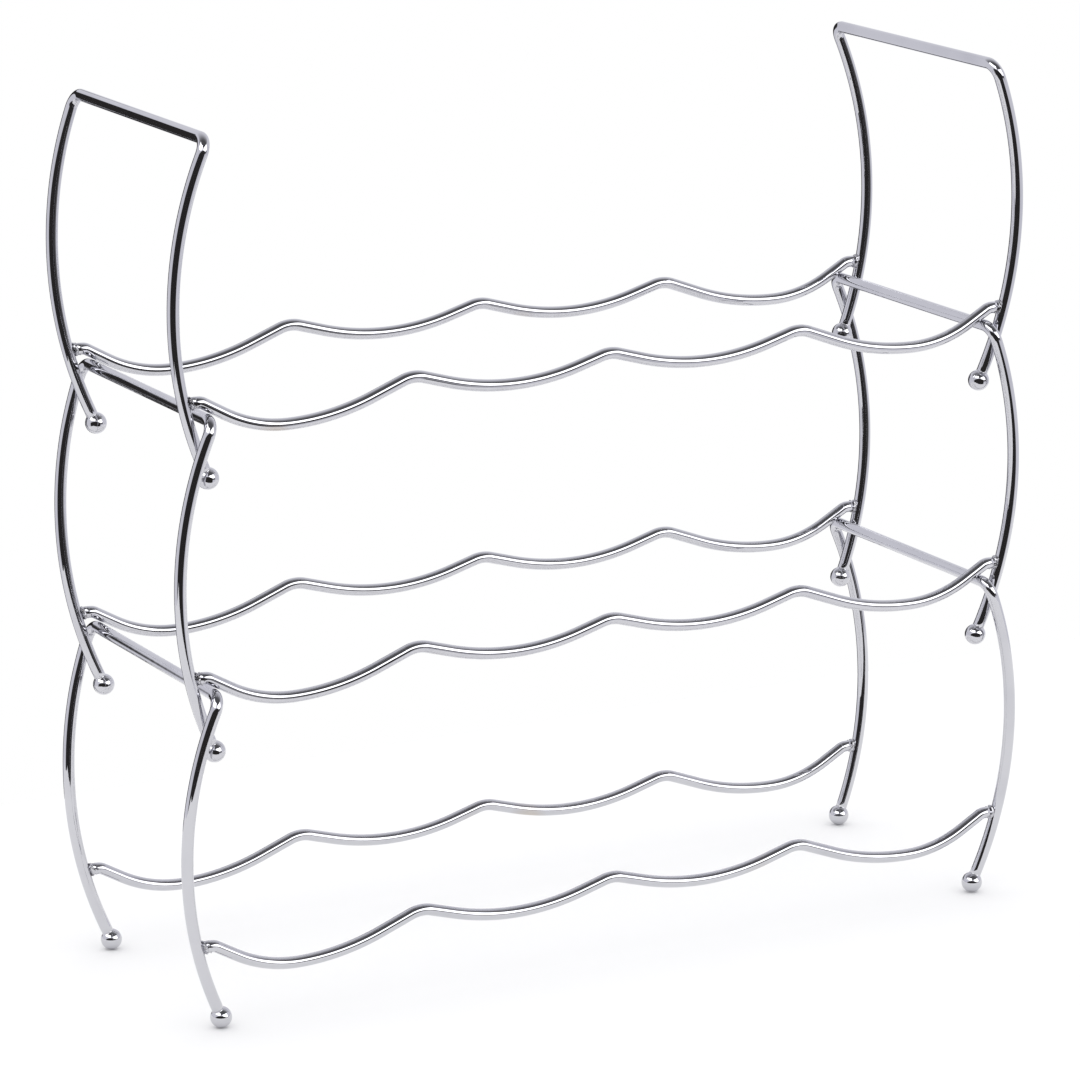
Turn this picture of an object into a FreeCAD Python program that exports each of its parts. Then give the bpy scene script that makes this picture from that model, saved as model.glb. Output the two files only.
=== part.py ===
import FreeCAD, Part
import math
import os

import Sketcher
from FreeCAD import Placement, Rotation, Vector

# A free-standing wine rack of bent and welded round wire, for bottles that lie front to back.
# It is a stack of equal tiers. X runs along the tiers, Y from front to back, Z up. The origin
# is on the floor, in the middle of the footprint.

doc = FreeCAD.newDocument("wine_rack")
sheet = doc.addObject("Spreadsheet::Sheet", "sizes")

DRIVING_SIZES = {
    "wire_dia": 5.5,
    "foot_dia": 10.0,
    "bottle_pitch": 99.25,          # from crest to crest of a rail
    "foot_beyond_bays": 1.5,        # a foot's centre, past two whole bays from the middle
    "top_beyond_foot": 1.0,         # a crossbar, outboard of the feet of its frame
    "foot_spacing_deep": 125.0,     # between foot centres, front to back
    "nest_step": 10.0,              # how much further out in Y a frame is at its top
    "frame_rise": 151.8,            # from a foot's centre to the crossbar's centreline
    "bow_angle": 22.2,              # a leg's lean at its ends, off its chord
    "corner_radius": 6.5,
    "crest_height": 35.0,           # heights of the rail's centreline over the feet's centres
    "cradle_height": 26.2,
    "outer_cradle_height": 20.6,
    "outer_cradle_shift": 9.5,      # the outer cradle's low point, outboard of its bay's middle
    "cradle_fullness": 0.94,        # a cradle's arc, as a share of the largest its bay takes
    "crest_radius": 16.0,
    "end_crest_radius": 5.5,
    "rail_stub": 3.4,               # the level end of a rail, beside its leg
    "bead_dia": 7.8,
    "stack_gap": 0.25,              # between a rail and the crossbar that it rests on
    "fit_gap": 0.05,                # round a wire in its foot or its weld
}
TIER_NAMES = ("lower", "middle", "upper")


def set_cell(row, alias, value):
    sheet.set("A%d" % row, alias)
    sheet.set("B%d" % row, repr(float(value)))
    sheet.setAlias("B%d" % row, alias)


for row, (alias, value) in enumerate(DRIVING_SIZES.items(), start=1):
    set_cell(row, alias, value)
doc.recompute()


def size(alias):
    return float(sheet.get(alias))


wire_radius = size("wire_dia") / 2
foot_radius = size("foot_dia") / 2
foot_x = 2 * size("bottle_pitch") + size("foot_beyond_bays")
foot_y = size("foot_spacing_deep") / 2
top_x = foot_x + size("top_beyond_foot")
top_y = foot_y + size("nest_step")


# ---- one leg: two straight ends, tangent to the arc between them ----


class Leg:
    """The centreline of one leg, from its foot's centre to the sharp corner at the crossbar."""

    def __init__(self, side_x, side_y):
        self.foot = Vector(side_x * foot_x, side_y * foot_y, 0)
        self.corner = Vector(side_x * top_x, side_y * top_y, size("frame_rise"))
        self.inward = Vector(0, -side_y, 0)
        chord = self.corner - self.foot
        self.up = Vector(chord).normalize()
        outward = Vector(side_x, 0, 0)
        self.out = (outward - self.up * outward.dot(self.up)).normalize()
        bow = math.radians(size("bow_angle"))
        self.start = self.up * math.cos(bow) + self.out * math.sin(bow)
        self.finish = self.up * math.cos(bow) - self.out * math.sin(bow)
        self.turn = self.finish.getAngle(self.inward)
        self.bend_run = size("corner_radius") * math.tan(self.turn / 2)
        self.straight = max(foot_radius + wire_radius / 2, self.bend_run)
        reach = chord.Length / 2 / math.cos(bow)
        self.radius = (reach - self.straight) / math.tan(bow)
        self.apex = self.foot + self.start * reach
        self.centre = self.apex - self.out * (self.radius / math.cos(bow))

    def edges(self):
        """The leg and its corner bend, from the foot up to the start of the crossbar."""
        arc_start = self.foot + self.start * self.straight
        arc_middle = self.centre + self.out * self.radius
        arc_end = self.corner - self.finish * self.straight
        bend_start = self.corner - self.finish * self.bend_run
        bend_end = self.corner + self.inward * self.bend_run
        to_centre = (self.inward - self.finish).normalize()
        radius = size("corner_radius")
        bend_middle = self.corner + to_centre * (radius / math.cos(self.turn / 2) - radius)
        edges = [
            Part.LineSegment(self.foot, arc_start).toShape(),
            Part.Arc(arc_start, arc_middle, arc_end).toShape(),
        ]
        if self.straight > self.bend_run:
            edges.append(Part.LineSegment(arc_end, bend_start).toShape())
        edges.append(Part.Arc(bend_start, bend_middle, bend_end).toShape())
        return edges, bend_end

    def at_height(self, height):
        """The arc's point at a height, and the wire's direction there."""
        along_out = self.radius * self.out.z
        along_up = self.radius * self.up.z
        lift = (height - self.centre.z) / math.hypot(along_out, along_up)
        angle = math.asin(lift) - math.atan2(along_out, along_up)
        point = self.centre + (self.out * math.cos(angle) + self.up * math.sin(angle)) * self.radius
        direction = self.up * math.cos(angle) - self.out * math.sin(angle)
        return point, direction


# ---- one rail: half of its wave, in the XZ plane, from the middle crest to the stub ----

weld_point, weld_direction = Leg(1, 1).at_height(size("crest_height"))
lean = weld_direction.getAngle(Vector(0, 0, 1))
rail_end_x = weld_point.x - wire_radius / math.cos(lean) - wire_radius * math.tan(lean) - size("fit_gap")
end_crest_x = rail_end_x - size("rail_stub")
outer_cradle_x = (size("bottle_pitch") + end_crest_x) / 2 + size("outer_cradle_shift")


def cradle_radius(run, drop, crest_radius):
    """The arc of a cradle whose low point is a run and a drop away from a crest."""
    return size("cradle_fullness") * (run * run + drop * drop) / (2 * drop) - crest_radius


def slope_between(run, drop, crest_radius, valley_radius):
    """The slope of the straight wire that is tangent to a crest and to the cradle beside it."""
    radii = crest_radius + valley_radius
    rise = radii - drop
    return math.atan2(run, rise) - math.acos(radii / math.hypot(run, rise))


inner_drop = size("crest_height") - size("cradle_height")
outer_drop = size("crest_height") - size("outer_cradle_height")
inner_run = size("bottle_pitch") / 2
outer_run_in = outer_cradle_x - size("bottle_pitch")
outer_run_out = end_crest_x - outer_cradle_x
inner_cradle_radius = cradle_radius(inner_run, inner_drop, size("crest_radius"))
outer_cradle_radius_in = cradle_radius(outer_run_in, outer_drop, size("crest_radius"))
outer_cradle_radius_out = cradle_radius(outer_run_out, outer_drop, size("end_crest_radius"))


def arc_of(centre_x, centre_z, radius, from_degrees, to_degrees):
    circle = Part.Circle(Vector(centre_x, centre_z, 0), Vector(0, 0, 1), radius)
    return Part.ArcOfCircle(circle, math.radians(from_degrees), math.radians(to_degrees))


def rail_curves():
    """The wave's arcs and the straight wire between them, in the order of the path."""
    inner = math.degrees(slope_between(inner_run, inner_drop, size("crest_radius"), inner_cradle_radius))
    rising = math.degrees(slope_between(outer_run_in, outer_drop, size("crest_radius"), outer_cradle_radius_in))
    leaving = math.degrees(
        slope_between(outer_run_out, outer_drop, size("end_crest_radius"), outer_cradle_radius_out)
    )
    crest_z = size("crest_height") - size("crest_radius")
    cradle_z = size("cradle_height") + inner_cradle_radius
    outer_in_z = size("outer_cradle_height") + outer_cradle_radius_in
    outer_out_z = size("outer_cradle_height") + outer_cradle_radius_out
    end_z = size("crest_height") - size("end_crest_radius")
    arcs = [
        arc_of(0, crest_z, size("crest_radius"), 90 - inner, 90),
        arc_of(inner_run, cradle_z, inner_cradle_radius, 270 - inner, 270 + inner),
        arc_of(size("bottle_pitch"), crest_z, size("crest_radius"), 90 - rising, 90 + inner),
        arc_of(outer_cradle_x, outer_in_z, outer_cradle_radius_in, 270 - rising, 270),
        arc_of(outer_cradle_x, outer_out_z, outer_cradle_radius_out, 270, 270 + leaving),
        arc_of(end_crest_x, end_z, size("end_crest_radius"), 90, 90 + leaving),
    ]
    middle, cradle, crest, outer_in, outer_out, end_crest = arcs
    stub_end = Vector(rail_end_x, size("crest_height"), 0)
    return [
        middle,
        Part.LineSegment(middle.StartPoint, cradle.StartPoint),
        cradle,
        Part.LineSegment(cradle.EndPoint, crest.EndPoint),
        crest,
        Part.LineSegment(crest.StartPoint, outer_in.StartPoint),
        outer_in,
        outer_out,
        Part.LineSegment(outer_out.EndPoint, end_crest.EndPoint),
        end_crest,
        Part.LineSegment(end_crest.StartPoint, stub_end),
    ]


def tier_pitch():
    """The rise of one tier: its rails rest on the crossbars of the tier below."""
    centreline = Part.Wire([curve.toShape() for curve in rail_curves()])
    contact = size("wire_dia") + size("stack_gap")
    low = 0.0
    high = size("outer_cradle_height")
    while centreline.distToShape(Part.Vertex(top_x, high, 0))[0] > contact:
        high += wire_radius / 2
    for _ in range(40):
        bar = (low + high) / 2
        if centreline.distToShape(Part.Vertex(top_x, bar, 0))[0] > contact:
            low = bar
        else:
            high = bar
    return size("frame_rise") - low


WORKED_OUT_SIZES = {
    "wire_radius": wire_radius,
    "foot_radius": foot_radius,
    "rail_end_x": rail_end_x,
    "end_crest_x": end_crest_x,
    "outer_cradle_x": outer_cradle_x,
    "inner_cradle_radius": inner_cradle_radius,
    "outer_cradle_radius_in": outer_cradle_radius_in,
    "outer_cradle_radius_out": outer_cradle_radius_out,
    "weld_y": weld_point.y,
    "tier_pitch": tier_pitch(),
}
for row, (alias, value) in enumerate(WORKED_OUT_SIZES.items(), start=len(DRIVING_SIZES) + 2):
    set_cell(row, alias, value)
doc.recompute()


# ---- the pieces ----


def origin_plane(body, role):
    return next(plane for plane in body.Origin.OriginFeatures if plane.Role == role)


def plane_sketch(body, name, role):
    sketch = body.newObject("Sketcher::SketchObject", name)
    sketch.AttachmentSupport = [(origin_plane(body, role), "")]
    sketch.MapMode = "FlatFace"
    return sketch


def bound(sketch, name, formula, kind, *places):
    """A dimension of a sketch that follows a formula on the sheet's cells."""
    if kind == "Radius":
        value = sketch.Geometry[places[0]].Radius
    else:
        point = sketch.getPoint(places[2], places[3])
        value = point.x if kind == "DistanceX" else point.y
    index = sketch.addConstraint(Sketcher.Constraint(kind, *places, value))
    sketch.renameConstraint(index, name)
    sketch.setExpression("Constraints." + name, formula)


def wave_sketch(body, name):
    """The rail's centreline: every arc tangent to its neighbours, every size from the sheet."""
    sketch = plane_sketch(body, name, "XZ_Plane")
    curves = rail_curves()
    sketch.addGeometry(curves, False)
    start, end, centre = 1, 2, 3
    crests = (0, 4, 9)              # these arcs are drawn against the path's direction
    for first in range(len(curves) - 1):
        leaving = start if first in crests else end
        arriving = end if first + 1 in crests else start
        sketch.addConstraint(Sketcher.Constraint("Tangent", first, leaving, first + 1, arriving))
    sketch.addConstraint(Sketcher.Constraint("PointOnObject", 0, end, -2))
    sketch.addConstraint(Sketcher.Constraint("PointOnObject", 0, centre, -2))
    sketch.addConstraint(Sketcher.Constraint("Horizontal", 10))
    bound(sketch, "middle_crest", "sizes.crest_radius", "Radius", 0)
    bound(sketch, "middle_height", "sizes.crest_height", "DistanceY", -1, 1, 0, end)
    bound(sketch, "cradle", "sizes.inner_cradle_radius", "Radius", 2)
    bound(sketch, "cradle_x", "sizes.bottle_pitch / 2", "DistanceX", -1, 1, 2, centre)
    bound(sketch, "cradle_z", "sizes.cradle_height + sizes.inner_cradle_radius", "DistanceY", -1, 1, 2, centre)
    bound(sketch, "crest", "sizes.crest_radius", "Radius", 4)
    bound(sketch, "crest_x", "sizes.bottle_pitch", "DistanceX", -1, 1, 4, centre)
    bound(sketch, "crest_z", "sizes.crest_height - sizes.crest_radius", "DistanceY", -1, 1, 4, centre)
    bound(sketch, "outer_in", "sizes.outer_cradle_radius_in", "Radius", 6)
    bound(sketch, "outer_in_x", "sizes.outer_cradle_x", "DistanceX", -1, 1, 6, centre)
    bound(
        sketch, "outer_in_z", "sizes.outer_cradle_height + sizes.outer_cradle_radius_in",
        "DistanceY", -1, 1, 6, centre,
    )
    bound(sketch, "outer_out", "sizes.outer_cradle_radius_out", "Radius", 7)
    bound(sketch, "outer_out_x", "sizes.outer_cradle_x", "DistanceX", -1, 1, 7, centre)
    bound(sketch, "end_crest", "sizes.end_crest_radius", "Radius", 9)
    bound(sketch, "end_crest_x", "sizes.end_crest_x", "DistanceX", -1, 1, 9, centre)
    bound(sketch, "end_crest_z", "sizes.crest_height - sizes.end_crest_radius", "DistanceY", -1, 1, 9, centre)
    bound(sketch, "stub_end", "sizes.rail_end_x", "DistanceX", -1, 1, 10, end)
    return sketch


def wire_rail(name, tier, side_y):
    """A wave rail: wire along half the wave, and its mirror image."""
    body = doc.addObject("PartDesign::Body", name)
    path = wave_sketch(body, name + "_path")
    section = plane_sketch(body, name + "_section", "YZ_Plane")
    circle = Part.Circle(Vector(0, size("crest_height"), 0), Vector(0, 0, 1), wire_radius)
    section.addGeometry(circle, False)
    section.addConstraint(Sketcher.Constraint("PointOnObject", 0, 3, -2))
    bound(section, "wire", "sizes.wire_radius", "Radius", 0)
    bound(section, "height", "sizes.crest_height", "DistanceY", -1, 1, 0, 3)
    doc.recompute()
    pipe = body.newObject("PartDesign::AdditivePipe", name + "_wire")
    pipe.Profile = section
    pipe.Spine = (path, [])
    doc.recompute()
    mirror = body.newObject("PartDesign::Mirrored", name + "_mirror")
    mirror.Originals = [pipe]
    mirror.MirrorPlane = (origin_plane(body, "YZ_Plane"), [""])
    body.Tip = mirror
    body.setExpression("Placement.Base.y", "%d * sizes.weld_y" % side_y)
    body.setExpression("Placement.Base.z", "sizes.foot_radius + %d * sizes.tier_pitch" % tier)
    return body


def tier_lift(tier):
    return Vector(0, 0, foot_radius + tier * size("tier_pitch"))


def end_frame(name, tier, side_x):
    """Two bowed legs and the crossbar between them, bent from one wire."""
    front, front_bend = Leg(side_x, -1).edges()
    back, back_bend = Leg(side_x, 1).edges()
    crossbar = Part.LineSegment(front_bend, back_bend).toShape()
    path = Part.Wire(front + [crossbar] + back[::-1])
    leg = Leg(side_x, -1)
    section = Part.Wire(Part.Circle(leg.foot, leg.start, wire_radius).toShape())
    frame = doc.addObject("Part::Feature", name)
    frame.Shape = path.makePipeShell([section], True, False)
    frame.Placement = Placement(tier_lift(tier), Rotation())
    return frame


def place(obj, base, axis, tier):
    """Turns an object's own Z to an axis and sets it down at a tier's point."""
    obj.Placement = Placement(base + tier_lift(tier), Rotation(Vector(0, 0, 1), axis))
    lift = "%r + sizes.foot_radius + %d * sizes.tier_pitch" % (base.z, tier)
    obj.setExpression("Placement.Base.z", lift)


def ball_foot(name, tier, side_x, side_y):
    """A ball with a blind hole, which the end of a leg fills to the ball's centre."""
    leg = Leg(side_x, side_y)
    ball = doc.addObject("Part::Sphere", name + "_ball")
    ball.setExpression("Radius", "sizes.foot_radius")
    place(ball, leg.foot, leg.start, tier)
    socket = doc.addObject("Part::Cylinder", name + "_socket")
    socket.setExpression("Radius", "sizes.wire_radius + sizes.fit_gap")
    socket.setExpression("Height", "sizes.foot_dia")
    place(socket, leg.foot, leg.start, tier)
    foot = doc.addObject("Part::Cut", name)
    foot.Base = ball
    foot.Tool = socket
    return foot


def weld_bead(name, tier, side_x, side_y):
    """A bead between a rail's end and its leg, hollowed for both wires."""
    point, direction = Leg(side_x, side_y).at_height(size("crest_height"))
    joint = Vector(side_x * rail_end_x, point.y, point.z)
    outboard = Vector(side_x, 0, 0)
    lump = doc.addObject("Part::Sphere", name + "_lump")
    lump.setExpression("Radius", "sizes.bead_dia / 2")
    place(lump, joint, outboard, tier)
    rail_room = doc.addObject("Part::Cylinder", name + "_rail_room")
    rail_room.setExpression("Radius", "sizes.wire_radius + sizes.fit_gap")
    rail_room.setExpression("Height", "sizes.bead_dia")
    inner_end = joint - outboard * (size("bead_dia") - size("fit_gap"))
    place(rail_room, inner_end, outboard, tier)
    leg_room = doc.addObject("Part::Cylinder", name + "_leg_room")
    leg_room.setExpression("Radius", "sizes.wire_radius + sizes.fit_gap")
    leg_room.setExpression("Height", "sizes.bead_dia * 2")
    place(leg_room, point - direction * size("bead_dia"), direction, tier)
    rooms = doc.addObject("Part::Fuse", name + "_rooms")
    rooms.Base = rail_room
    rooms.Tool = leg_room
    bead = doc.addObject("Part::Cut", name)
    bead.Base = lump
    bead.Tool = rooms
    return bead


SIDES_X = (("left", -1), ("right", 1))
SIDES_Y = (("front", -1), ("back", 1))

nodes = []
for tier, tier_name in enumerate(TIER_NAMES):
    beads = []
    for x_name, side_x in SIDES_X:
        nodes.append(end_frame("%s_%s_end_frame" % (tier_name, x_name), tier, side_x))
    for y_name, side_y in SIDES_Y:
        nodes.append(wire_rail("%s_%s_rail" % (tier_name, y_name), tier, side_y))
        for x_name, side_x in SIDES_X:
            corner = "%s_%s_%s" % (tier_name, y_name, x_name)
            nodes.append(ball_foot(corner + "_foot", tier, side_x, side_y))
            beads.append(weld_bead(corner + "_weld", tier, side_x, side_y))
    welds = doc.addObject("Part::Compound", tier_name + "_rail_welds")
    welds.Links = beads
    nodes.append(welds)

doc.recompute()

for obj in doc.Objects:
    if "Invalid" in obj.State or "Error" in obj.State:
        raise RuntimeError("%s failed: %s" % (obj.Label, obj.State))
for node in nodes:
    if node.Shape.isNull() or not node.Shape.isValid():
        raise RuntimeError("%s has no valid shape" % node.Label)

os.makedirs("parts", exist_ok=True)
for node in nodes:
    node.Shape.exportStep("parts/%s.step" % node.Label)
box = Part.makeCompound([node.Shape for node in nodes]).BoundBox
print("%d nodes, tier pitch %.3f mm" % (len(nodes), size("tier_pitch")))
print("overall %.1f x %.1f x %.1f mm" % (box.XLength, box.YLength, box.ZLength))
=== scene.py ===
import math

import bmesh
import bpy
from mathutils import Matrix, Vector, noise


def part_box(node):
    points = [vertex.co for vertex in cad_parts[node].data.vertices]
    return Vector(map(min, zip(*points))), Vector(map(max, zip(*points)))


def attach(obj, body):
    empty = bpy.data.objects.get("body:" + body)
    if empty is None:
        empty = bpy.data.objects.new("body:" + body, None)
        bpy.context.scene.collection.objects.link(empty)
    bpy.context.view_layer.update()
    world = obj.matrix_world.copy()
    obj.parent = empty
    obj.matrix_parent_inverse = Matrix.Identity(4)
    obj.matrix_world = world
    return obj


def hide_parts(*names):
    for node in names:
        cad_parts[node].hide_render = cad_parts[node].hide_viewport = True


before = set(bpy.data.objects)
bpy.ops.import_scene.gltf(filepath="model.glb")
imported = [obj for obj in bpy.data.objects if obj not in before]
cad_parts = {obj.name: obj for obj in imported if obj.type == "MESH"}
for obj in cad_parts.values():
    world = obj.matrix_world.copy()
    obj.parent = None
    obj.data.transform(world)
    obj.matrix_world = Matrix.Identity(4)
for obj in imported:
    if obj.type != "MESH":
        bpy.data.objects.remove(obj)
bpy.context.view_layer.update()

tiers = ("lower", "middle", "upper")
sidesX = {"left": -1, "right": 1}
sidesY = {"front": -1, "back": 1}
upAxis = Vector((0, 0, 1))
print("frame loaded:", len(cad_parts), "nodes")


# meshes

def newPiece(name, bm, material, body, nodes):
    bmesh.ops.remove_doubles(bm, verts=bm.verts[:], dist=1e-6)
    bmesh.ops.recalc_face_normals(bm, faces=bm.faces[:])
    for face in bm.faces:
        face.smooth = True
    mesh = bpy.data.meshes.new(name)
    bm.to_mesh(mesh)
    bm.free()
    mesh.materials.append(material)
    piece = bpy.data.objects.new(name, mesh)
    bpy.context.scene.collection.objects.link(piece)
    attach(piece, body)
    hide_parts(*nodes)
    return piece


def ringOf(geometry):
    return [item for item in geometry if isinstance(item, bmesh.types.BMEdge)]


def bendWire(bm, start, heading, program, gauge):
    # the wire is fed out and bent as a bending machine does it, one run or bend after another
    turned = heading.to_track_quat("Z", "Y").to_matrix().to_4x4()
    bmesh.ops.create_circle(
        bm, cap_ends=True, segments=gauge["sides"], radius=gauge["diameter"] / 2,
        matrix=Matrix.Translation(start) @ turned,
    )
    ring = bm.edges[:]
    at = start.copy()
    heading = heading.normalized()
    for step in program:
        if step[0] == "run":
            made = bmesh.ops.extrude_edge_only(bm, edges=ring)
            moved = [item for item in made["geom"] if isinstance(item, bmesh.types.BMVert)]
            bmesh.ops.translate(bm, verts=moved, vec=heading * step[1])
            ring = [edge for edge in ringOf(made["geom"]) if all(vert in moved for vert in edge.verts)]
            at = at + heading * step[1]
        else:
            axis, angle, radius = step[1:]
            centre = at + axis.cross(heading) * radius
            pieces = max(math.ceil(angle / gauge["bendStep"]), math.ceil(angle * radius / gauge["arcStep"]))
            made = bmesh.ops.spin(
                bm, geom=ring, cent=centre, axis=axis, angle=angle, steps=pieces,
                use_merge=False, use_duplicate=False,
            )
            ring = ringOf(made["geom_last"])
            turn = Matrix.Rotation(angle, 3, axis)
            at = centre + turn @ (at - centre)
            heading = turn @ heading
    bmesh.ops.edgeloop_fill(bm, edges=ring)
    return at


# materials

class Value:
    # a socket that can be used in a Python expression
    def __init__(self, nodes, socket):
        self.nodes = nodes
        self.socket = socket

    def maths(self, operation, first, second):
        return self.nodes.add("ShaderNodeMath", {"operation": operation}, {0: first, 1: second})

    def __add__(self, other):
        return self.maths("ADD", self, other)

    __radd__ = __add__

    def __mul__(self, other):
        return self.maths("MULTIPLY", self, other)

    __rmul__ = __mul__

    def __sub__(self, other):
        return self.maths("SUBTRACT", self, other)

    def __rsub__(self, other):
        return self.maths("SUBTRACT", other, self)

    def clamped(self, low, high):
        # 0 at low, 1 at high, smooth between; low may be the larger
        settings = {"interpolation_type": "SMOOTHSTEP", "clamp": True}
        limits = {"Value": self, "From Min": min(low, high), "From Max": max(low, high)}
        rising = self.nodes.add("ShaderNodeMapRange", settings, limits)
        return rising if low < high else 1 - rising


class Nodes:
    def __init__(self, tree):
        self.tree = tree
        tree.nodes.clear()

    def add(self, kind, settings=None, inputs=None, output=0):
        node = self.tree.nodes.new(kind)
        for name, value in (settings or {}).items():
            setattr(node, name, value)
        for name, value in (inputs or {}).items():
            if isinstance(value, Value):
                self.tree.links.new(value.socket, node.inputs[name])
            else:
                node.inputs[name].default_value = value
        return Value(self, node.outputs[output]) if node.outputs else node

    def noise(self, where, scale, detail):
        return self.add("ShaderNodeTexNoise", None, {"Vector": where, "Scale": scale, "Detail": detail})

    def mix(self, amount, low, high):
        return self.add(
            "ShaderNodeMix", {"data_type": "RGBA"}, {0: amount, 6: low, 7: high}, output=2
        )


def newMaterial(name):
    material = bpy.data.materials.new(name)
    material.use_nodes = True
    return material, Nodes(material.node_tree)


plateFinish = {
    "colour": (0.60, 0.60, 0.63, 1),
    "hazeColour": (0.52, 0.52, 0.56, 1),
    "warmColour": (0.52, 0.44, 0.34, 1),
    "roughness": (0.025, 0.075),
    "cloudScale": 34.0,
    "hazeEdge": (0.45, 0.75),
    "hazeAmount": 0.6,
    "grainScale": 900.0,
    "grainEdge": (0.5, 0.8),
    "spotScale": 17.0,
    "spotEdge": (0.66, 0.74),
    "rippleScale": 140.0,
    "rippleDepth": 0.00003,
    "rippleStrength": 0.35,
    "grainInRipple": 0.15,
    "railWarmth": 0.55,
}


def chromePlate(name, warmth):
    # bright plate: faint haze, fine grain, a slight ripple and, with warmth, a few warm thin spots
    material, nodes = newMaterial(name)
    where = nodes.add("ShaderNodeTexCoord", output=3)
    cloud = nodes.noise(where, plateFinish["cloudScale"], 3.0)
    grain = nodes.noise(where, plateFinish["grainScale"], 2.0)
    ripple = nodes.noise(where, plateFinish["rippleScale"], 1.0)
    haze = cloud.clamped(*plateFinish["hazeEdge"])
    colour = nodes.mix(haze * plateFinish["hazeAmount"], plateFinish["colour"], plateFinish["hazeColour"])
    if warmth:
        spots = nodes.noise(where, plateFinish["spotScale"], 1.0).clamped(*plateFinish["spotEdge"])
        colour = nodes.mix(spots * warmth, colour, plateFinish["warmColour"])
    low, high = plateFinish["roughness"]
    roughness = low + (high - low) * (haze * 0.7 + grain.clamped(*plateFinish["grainEdge"]) * 0.3)
    bump = nodes.add(
        "ShaderNodeBump", None,
        {
            "Strength": plateFinish["rippleStrength"],
            "Distance": plateFinish["rippleDepth"],
            "Height": ripple + grain * plateFinish["grainInRipple"],
        },
    )
    shader = nodes.add(
        "ShaderNodeBsdfPrincipled", None,
        {"Base Color": colour, "Metallic": 1.0, "Roughness": roughness, "Normal": bump},
    )
    nodes.add("ShaderNodeOutputMaterial", None, {"Surface": shader})
    return material


weldFinish = {
    "colour": (0.56, 0.56, 0.59, 1),
    "scaleColour": (0.16, 0.15, 0.15, 1),
    "roughness": (0.08, 0.34),
    "pitScale": 1500.0,
    "pitEdge": (0.35, 0.7),
    "pitDepth": 0.00016,
    "pitStrength": 0.8,
    "patchScale": 520.0,
    "patchEdge": (0.52, 0.64),
    "patchAmount": 0.8,
}


def weldPlate(name):
    # plate over a rough bead: pits of uneven gloss and patches of dark scale
    material, nodes = newMaterial(name)
    where = nodes.add("ShaderNodeTexCoord", output=3)
    pits = nodes.noise(where, weldFinish["pitScale"], 3.0)
    patches = nodes.noise(where, weldFinish["patchScale"], 2.0).clamped(*weldFinish["patchEdge"])
    dark = patches * weldFinish["patchAmount"]
    low, high = weldFinish["roughness"]
    bump = nodes.add(
        "ShaderNodeBump", None,
        {"Strength": weldFinish["pitStrength"], "Distance": weldFinish["pitDepth"], "Height": pits},
    )
    shader = nodes.add(
        "ShaderNodeBsdfPrincipled", None,
        {
            "Base Color": nodes.mix(dark, weldFinish["colour"], weldFinish["scaleColour"]),
            "Metallic": 1.0,
            "Roughness": low + (high - low) * pits.clamped(*weldFinish["pitEdge"]),
            "Normal": bump,
        },
    )
    nodes.add("ShaderNodeOutputMaterial", None, {"Surface": shader})
    return material


railChrome = chromePlate("railChrome", plateFinish["railWarmth"])
frameChrome = chromePlate("frameChrome", 0)
ballChrome = chromePlate("ballChrome", 0)
weldChrome = weldPlate("weldChrome")
print("materials made")


# end frames: two bowed legs and a crossbar, bent from one wire

endFrame = {
    "diameter": 0.0055,
    "sides": 40,
    "bendStep": math.radians(3.5),
    "arcStep": 0.003,
    "bowAngle": math.radians(22.2),
    "cornerRadius": 0.0065,
    "topBeyondFoot": 0.001,
    "nestStep": 0.010,
}
ballFoot = {"radius": 0.005, "neckRadius": 0.0005, "arcSteps": 40, "neckSteps": 6, "spinSteps": 64}


def footCentre(tier, nameX, nameY):
    low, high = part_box("%s_%s_%s_foot" % (tier, nameY, nameX))
    return Vector(((low[0] + high[0]) / 2, (low[1] + high[1]) / 2, low[2] + ballFoot["radius"]))


def legShape(tier, nameX, nameY):
    sideX, sideY = sidesX[nameX], sidesY[nameY]
    foot = footCentre(tier, nameX, nameY)
    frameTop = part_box("%s_%s_end_frame" % (tier, nameX))[1][2]
    corner = Vector((
        foot.x + sideX * endFrame["topBeyondFoot"],
        foot.y + sideY * endFrame["nestStep"],
        frameTop - endFrame["diameter"] / 2,
    ))
    chord = corner - foot
    along = chord.normalized()
    outward = Vector((sideX, 0, 0))
    outward = (outward - along * outward.dot(along)).normalized()
    bow = endFrame["bowAngle"]
    leaving = along * math.cos(bow) + outward * math.sin(bow)
    arriving = along * math.cos(bow) - outward * math.sin(bow)
    inward = Vector((0, -sideY, 0))
    turn = arriving.angle(inward)
    bendRun = endFrame["cornerRadius"] * math.tan(turn / 2)
    straight = max(ballFoot["radius"] + endFrame["diameter"] / 4, bendRun)
    reach = chord.length / 2 / math.cos(bow)
    radius = (reach - straight) / math.tan(bow)
    centre = foot + leaving * reach - outward * (radius / math.cos(bow))
    return {
        "foot": foot, "corner": corner, "leaving": leaving, "arriving": arriving, "inward": inward,
        "turn": turn, "bendRun": bendRun, "straight": straight, "radius": radius,
        "centre": centre, "along": along, "outward": outward,
    }


def legAtHeight(leg, height):
    # the point of the leg's arc at a height, and the wire's direction there
    acrossZ, alongZ = leg["outward"].z, leg["along"].z
    lift = (height - leg["centre"].z) / (leg["radius"] * math.hypot(acrossZ, alongZ))
    angle = math.asin(lift) - math.atan2(acrossZ, alongZ)
    arm = leg["outward"] * math.cos(angle) + leg["along"] * math.sin(angle)
    heading = leg["along"] * math.cos(angle) - leg["outward"] * math.sin(angle)
    return leg["centre"] + arm * leg["radius"], heading


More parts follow.
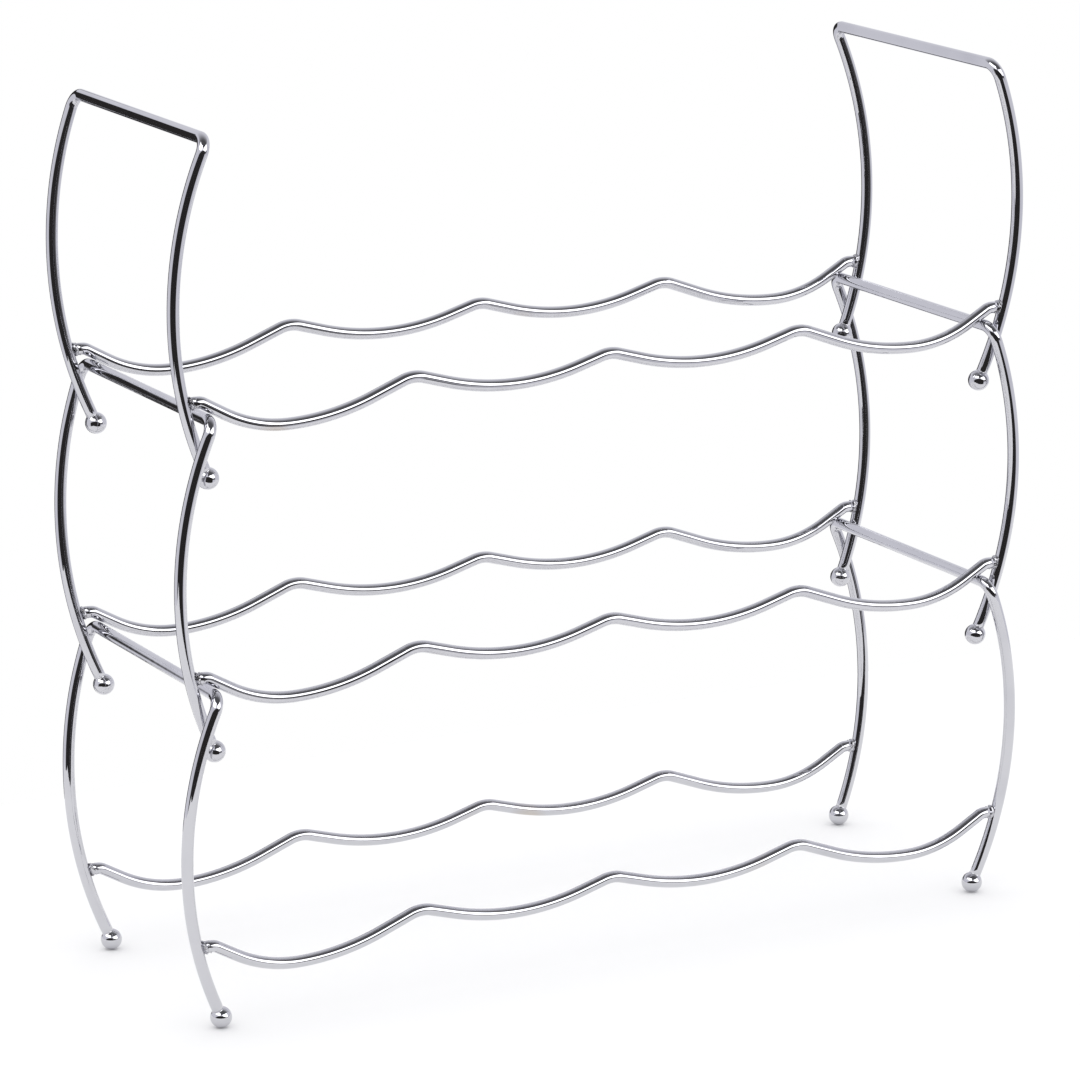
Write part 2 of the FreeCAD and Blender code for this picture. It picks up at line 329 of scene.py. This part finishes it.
def makeEndFrame(tier, nameX):
    front = legShape(tier, nameX, "front")
    back = legShape(tier, nameX, "back")
    crossbar = back["corner"].y - front["corner"].y - front["bendRun"] - back["bendRun"]
    bow = 2 * endFrame["bowAngle"]
    frontBow = front["leaving"].cross(front["arriving"]).normalized()
    frontCorner = front["arriving"].cross(front["inward"]).normalized()
    backCorner = front["inward"].cross(-back["arriving"]).normalized()
    backBow = (-back["arriving"]).cross(-back["leaving"]).normalized()
    # the bow ends this far below the corner's bend
    spare = front["straight"] - front["bendRun"]
    shoulder = [("run", spare)] if spare > 0 else []
    program = [
        ("run", front["straight"]),
        ("bend", frontBow, bow, front["radius"]),
        *shoulder,
        ("bend", frontCorner, front["turn"], endFrame["cornerRadius"]),
        ("run", crossbar),
        ("bend", backCorner, back["turn"], endFrame["cornerRadius"]),
        *shoulder,
        ("bend", backBow, bow, back["radius"]),
        ("run", back["straight"]),
    ]
    bm = bmesh.new()
    bendWire(bm, front["foot"], front["leaving"], program, endFrame)
    node = "%s_%s_end_frame" % (tier, nameX)
    newPiece(node + "_wire", bm, frameChrome, tier + "_tier", [node])


for tier in tiers:
    for nameX in sidesX:
        makeEndFrame(tier, nameX)
print("end frames bent")


# rails: a wave of four cradles, with a level stub at each leg

rail = {
    "diameter": 0.0055,
    "sides": 40,
    "bendStep": math.radians(2.5),
    "arcStep": 0.003,
    "pitch": 0.09925,
    "crestRadius": 0.016,
    "endCrestRadius": 0.0055,
    "cradleDrop": 0.0088,
    "outerDrop": 0.0144,
    "outerShift": 0.0095,
    "stub": 0.0034,
    "fullness": 0.94,
}


def railBays():
    # slope and arcs of each half cradle, from the run and the drop between its low point and a crest
    low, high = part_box("lower_front_rail")
    endCrest = high[0] - rail["stub"]
    outerLow = (rail["pitch"] + endCrest) / 2 + rail["outerShift"]
    halves = (
        (rail["pitch"] / 2, rail["cradleDrop"], rail["crestRadius"]),
        (outerLow - rail["pitch"], rail["outerDrop"], rail["crestRadius"]),
        (endCrest - outerLow, rail["outerDrop"], rail["endCrestRadius"]),
    )
    shapes = []
    for run, drop, crest in halves:
        radii = rail["fullness"] * (run * run + drop * drop) / (2 * drop)
        rise = radii - drop
        slope = math.atan2(run, rise) - math.acos(radii / math.hypot(run, rise))
        straight = math.sqrt(run * run + rise * rise - radii * radii)
        shapes.append({"slope": slope, "radius": radii - crest, "crest": crest, "straight": straight})
    return shapes


def railProgram():
    over, under = Vector((0, 1, 0)), Vector((0, -1, 0))      # a crest turns down, a cradle turns up
    inner, outerIn, outerOut = railBays()
    half = [
        ("run", inner["straight"]),
        ("bend", under, 2 * inner["slope"], inner["radius"]),
        ("run", inner["straight"]),
        ("bend", over, inner["slope"] + outerIn["slope"], rail["crestRadius"]),
        ("run", outerIn["straight"]),
        ("bend", under, outerIn["slope"], outerIn["radius"]),
        ("bend", under, outerOut["slope"], outerOut["radius"]),
        ("run", outerOut["straight"]),
        ("bend", over, outerOut["slope"], rail["endCrestRadius"]),
        ("run", rail["stub"]),
    ]
    middle = ("bend", over, 2 * inner["slope"], rail["crestRadius"])
    return half[::-1] + [middle] + half


def makeRail(tier, nameY):
    node = "%s_%s_rail" % (tier, nameY)
    low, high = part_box(node)
    start = Vector((low[0], (low[1] + high[1]) / 2, high[2] - rail["diameter"] / 2))
    bm = bmesh.new()
    end = bendWire(bm, start, Vector((1, 0, 0)), railProgram(), rail)
    print(node, "closes to", round((end.x - high[0]) * 1000, 3), "mm")
    newPiece(node + "_wire", bm, railChrome, tier + "_tier", [node])


for tier in tiers:
    for nameY in sidesY:
        makeRail(tier, nameY)
print("rails bent")


# ball feet

def makeBallFoot(tier, nameX, nameY):
    leg = legShape(tier, nameX, nameY)
    wire = endFrame["diameter"] / 2
    ball, neck = ballFoot["radius"], ballFoot["neckRadius"]
    # the neck's fillet touches the ball and the wire, so its centre is known from both
    neckHeight = math.sqrt((ball + neck) ** 2 - (wire + neck) ** 2)
    touch = math.atan2(wire + neck, neckHeight)
    bm = bmesh.new()
    pole = bmesh.ops.create_vert(bm, co=(0, 0, -ball))["vert"][0]
    turnAxis = Vector((0, -1, 0))
    made = bmesh.ops.spin(
        bm, geom=[pole], cent=(0, 0, 0), axis=turnAxis, angle=math.pi - touch,
        steps=ballFoot["arcSteps"], use_merge=False, use_duplicate=False,
    )
    last = [item for item in made["geom_last"] if isinstance(item, bmesh.types.BMVert)]
    neckTurn = math.pi / 2 - touch
    made = bmesh.ops.spin(
        bm, geom=last, cent=(wire + neck, 0, neckHeight), axis=-turnAxis, angle=neckTurn,
        steps=ballFoot["neckSteps"], use_merge=False, use_duplicate=False,
    )
    last = [item for item in made["geom_last"] if isinstance(item, bmesh.types.BMVert)]
    made = bmesh.ops.extrude_vert_indiv(bm, verts=last)
    bmesh.ops.translate(bm, verts=made["verts"], vec=(-made["verts"][0].co.x, 0, 0))
    bmesh.ops.spin(
        bm, geom=bm.verts[:] + bm.edges[:], cent=(0, 0, 0), axis=upAxis, angle=math.tau,
        steps=ballFoot["spinSteps"], use_merge=True, use_duplicate=False,
    )
    turned = leg["leaving"].to_track_quat("Z", "Y").to_matrix().to_4x4()
    bmesh.ops.transform(bm, matrix=Matrix.Translation(leg["foot"]) @ turned, verts=bm.verts[:])
    node = "%s_%s_%s_foot" % (tier, nameY, nameX)
    newPiece(node + "_ball", bm, ballChrome, tier + "_tier", [node])


for tier in tiers:
    for nameX in sidesX:
        for nameY in sidesY:
            makeBallFoot(tier, nameX, nameY)
print("ball feet turned")


# welds: an uneven collar where each rail's stub meets its leg, with a few drops of spatter

weld = {
    "collar": 0.0031,
    "length": 0.0014,
    "legStretch": 1.06,
    "swell": 0.10,
    "swellScale": 1.3,
    "unevenness": 0.00024,
    "unevenScale": 2.7,
    "seedSteps": (3.1, 5.7, 7.3),
    "dropRise": 0.2,
    # each drop's reach along the rail, angle round it and radius
    "drops": (
        (0.0015, 0.6, 0.00045), (0.0008, 2.3, 0.0004), (0.0013, 3.9, 0.0005),
        (0.0022, 5.2, 0.00035), (0.0005, 1.5, 0.0004),
    ),
}


def makeWelds(tier):
    bm = bmesh.new()
    wire = rail["diameter"] / 2
    for indexX, (nameX, sideX) in enumerate(sidesX.items()):
        for indexY, nameY in enumerate(sidesY):
            low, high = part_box("%s_%s_rail" % (tier, nameY))
            height = high[2] - wire
            onLeg, legWay = legAtHeight(legShape(tier, nameX, nameY), height)
            stubEnd = high[0] if sideX > 0 else low[0]
            joint = Vector((stubEnd, onLeg.y, height))
            inboard = Vector((-sideX, 0, 0))
            stepX, stepY, stepTier = weld["seedSteps"]
            seed = Vector((indexX * stepX, indexY * stepY, tiers.index(tier) * stepTier))
            made = bmesh.ops.create_icosphere(bm, subdivisions=5, radius=1.0)
            across = inboard.cross(legWay).normalized()
            for vert in made["verts"]:
                way = vert.co.copy()
                swell = 1 + weld["swell"] * noise.noise(way * weld["swellScale"] + seed)
                rough = weld["unevenness"] * noise.noise(way * weld["unevenScale"] + seed * 2)
                place = (
                    inboard * (way.x * weld["length"] * swell)
                    + across * (way.y * (weld["collar"] * swell + rough))
                    + legWay * (way.z * (weld["collar"] * weld["legStretch"] * swell + rough))
                )
                vert.co = joint + place
            for reach, angle, size in weld["drops"]:
                turned = angle + seed.x + seed.y + seed.z
                spoke = across * math.cos(turned) + legWay * math.sin(turned)
                spot = joint + inboard * reach + spoke * (wire + size * weld["dropRise"])
                bmesh.ops.create_icosphere(bm, subdivisions=2, radius=size, matrix=Matrix.Translation(spot))
    node = tier + "_rail_welds"
    newPiece(node + "_beads", bm, weldChrome, tier + "_tier", [node])


for tier in tiers:
    makeWelds(tier)
print("welds laid")


# floor, light and camera

studio = {
    "azimuth": math.radians(-27.76),
    "elevation": math.radians(14.26),
    "distance": 2.399,
    "lens": 170.2,
    "roll": -0.0081,
    "aim": (-0.0027, 0.0, 0.1881),
    "floorSize": (1.5, 0.72),
    "floorMiddle": (0.0, -0.06, 0.0),
    "floorColour": (0.92, 0.92, 0.93, 1),
    "sensor": 36,
}


def makeFloor():
    bm = bmesh.new()
    bmesh.ops.create_grid(bm, x_segments=1, y_segments=1, size=0.5)
    bmesh.ops.scale(bm, verts=bm.verts[:], vec=(*studio["floorSize"], 1))
    bmesh.ops.translate(bm, verts=bm.verts[:], vec=studio["floorMiddle"])
    mesh = bpy.data.meshes.new("floor")
    bm.to_mesh(mesh)
    bm.free()
    floor = bpy.data.objects.new("floor", mesh)
    bpy.context.scene.collection.objects.link(floor)
    material, nodes = newMaterial("floorWhite")
    shader = nodes.add("ShaderNodeBsdfDiffuse", None, {"Color": studio["floorColour"]})
    nodes.add("ShaderNodeOutputMaterial", None, {"Surface": shader})
    mesh.materials.append(material)


light = {
    "tent": (0.86, 0.86, 0.92, 1),
    "roof": (0.11, 0.11, 0.115, 1),
    "dark": (0.030, 0.028, 0.028, 1),
    "box": (3.2, 3.2, 3.2, 1),
    "fill": (1.16, 1.16, 1.16, 1),
    "seen": (1.0, 1.0, 1.0, 1),
}


# where each patch of the tent starts and where it is full, in radians: round from the camera's side,
# with left negative, and up from the horizon; the roof's fade runs by its reach towards the camera
patch = {
    "roofBottom": (0.48, 0.72),
    "roofFade": (0.25, -0.85),
    "leftBoxSide": (-0.03, -0.06),
    "leftBoxBottom": (0.52, 0.58),
    "leftBoxTop": (1.0, 0.88),
    "rightBoxSide": (0.38, 0.48),
    "rightBoxBottom": (0.08, 0.14),
    "rightBoxTop": (0.70, 0.62),
    "boxEnds": (1.45, 1.35),
    "bandBottom": (-0.18, -0.12),
    "bandTop": (0.11, 0.06),
    "bandStart": (0.85, 0.95),
    "bandEnd": (1.5, 1.4),
    "bandAmount": 0.9,
    "rearStart": (-2.14, -2.18),
    "rearCurve": 1.5,
    "rearEnd": (-3.05, -2.9),
    "rearTop": (0.34, 0.30),
    "openingSides": (1.0, 0.88),
    "openingTop": (0.50, 0.42),
    "openingCurve": 0.35,
}


def makeWorld():
    # a pale tent round the rack, with a dark opening on the camera's side and two soft boxes over it
    world = bpy.data.worlds.new("tent")
    bpy.context.scene.world = world
    world.use_nodes = True
    nodes = Nodes(world.node_tree)
    way = nodes.add("ShaderNodeTexCoord", output=0)
    x, y, z = (nodes.add("ShaderNodeSeparateXYZ", None, {"Vector": way}, output=n) for n in range(3))
    toCameraX, toCameraY = math.sin(studio["azimuth"]), -math.cos(studio["azimuth"])
    ahead = x * toCameraX + y * toCameraY
    aside = y * toCameraX - x * toCameraY
    azimuth = nodes.add("ShaderNodeMath", {"operation": "ARCTAN2"}, {0: aside, 1: ahead})
    elevation = nodes.add("ShaderNodeMath", {"operation": "ARCSINE"}, {0: z})
    spread = nodes.add("ShaderNodeMath", {"operation": "ABSOLUTE"}, {0: azimuth})

    # the roof darkens towards the camera
    roofColour = nodes.mix(ahead.clamped(*patch["roofFade"]), light["roof"], light["tent"])
    colour = nodes.mix(elevation.clamped(*patch["roofBottom"]), light["tent"], roofColour)

    # two bright boxes, the right one reaching down beside the opening
    leftBox = azimuth.clamped(*patch["leftBoxSide"]) * elevation.clamped(*patch["leftBoxBottom"])
    leftBox = leftBox * elevation.clamped(*patch["leftBoxTop"])
    rightBox = azimuth.clamped(*patch["rightBoxSide"]) * elevation.clamped(*patch["rightBoxBottom"])
    rightBox = rightBox * elevation.clamped(*patch["rightBoxTop"])
    softBoxes = (leftBox + rightBox) * spread.clamped(*patch["boxEnds"])
    colour = nodes.mix(softBoxes, colour, light["box"])

    # a dark sheet behind on the left, with a curved edge, which the left crossbars mirror
    rearEdge = azimuth + elevation * elevation * patch["rearCurve"]
    rear = rearEdge.clamped(*patch["rearStart"]) * azimuth.clamped(*patch["rearEnd"])
    colour = nodes.mix(rear * elevation.clamped(*patch["rearTop"]), colour, light["dark"])

    # the opening, lower at its sides
    openingEdge = elevation + spread * spread * patch["openingCurve"]
    opening = spread.clamped(*patch["openingSides"]) * openingEdge.clamped(*patch["openingTop"])
    colour = nodes.mix(opening, colour, light["dark"])

    # a dark band along the horizon on the right, which draws a thin line along the rails
    band = elevation.clamped(*patch["bandBottom"]) * elevation.clamped(*patch["bandTop"])
    band = band * azimuth.clamped(*patch["bandStart"]) * azimuth.clamped(*patch["bandEnd"])
    colour = nodes.mix(band * patch["bandAmount"], colour, light["dark"])

    # only mirrored light sees the tent: the floor gets an even fill, and the view behind is white
    glossy = nodes.add("ShaderNodeLightPath", output=3)
    camera = nodes.add("ShaderNodeLightPath", output=0)
    colour = nodes.mix(glossy, light["fill"], colour)
    colour = nodes.mix(camera, colour, light["seen"])
    background = nodes.add("ShaderNodeBackground", None, {"Color": colour, "Strength": 1.0})
    nodes.add("ShaderNodeOutputWorld", None, {"Surface": background})


def makeCamera():
    data = bpy.data.cameras.new("camera")
    data.lens = studio["lens"]
    data.sensor_width = studio["sensor"]
    camera = bpy.data.objects.new("camera", data)
    bpy.context.scene.collection.objects.link(camera)
    flat = math.cos(studio["elevation"])
    look = Vector((
        -math.sin(studio["azimuth"]) * flat,
        math.cos(studio["azimuth"]) * flat,
        -math.sin(studio["elevation"]),
    ))
    turned = look.to_track_quat("-Z", "Y").to_matrix().to_4x4() @ Matrix.Rotation(studio["roll"], 4, "Z")
    camera.matrix_world = Matrix.Translation(Vector(studio["aim"]) - look * studio["distance"]) @ turned
    bpy.context.scene.camera = camera


makeFloor()
makeWorld()
makeCamera()
bpy.context.scene.view_settings.view_transform = "Standard"
print("studio set")
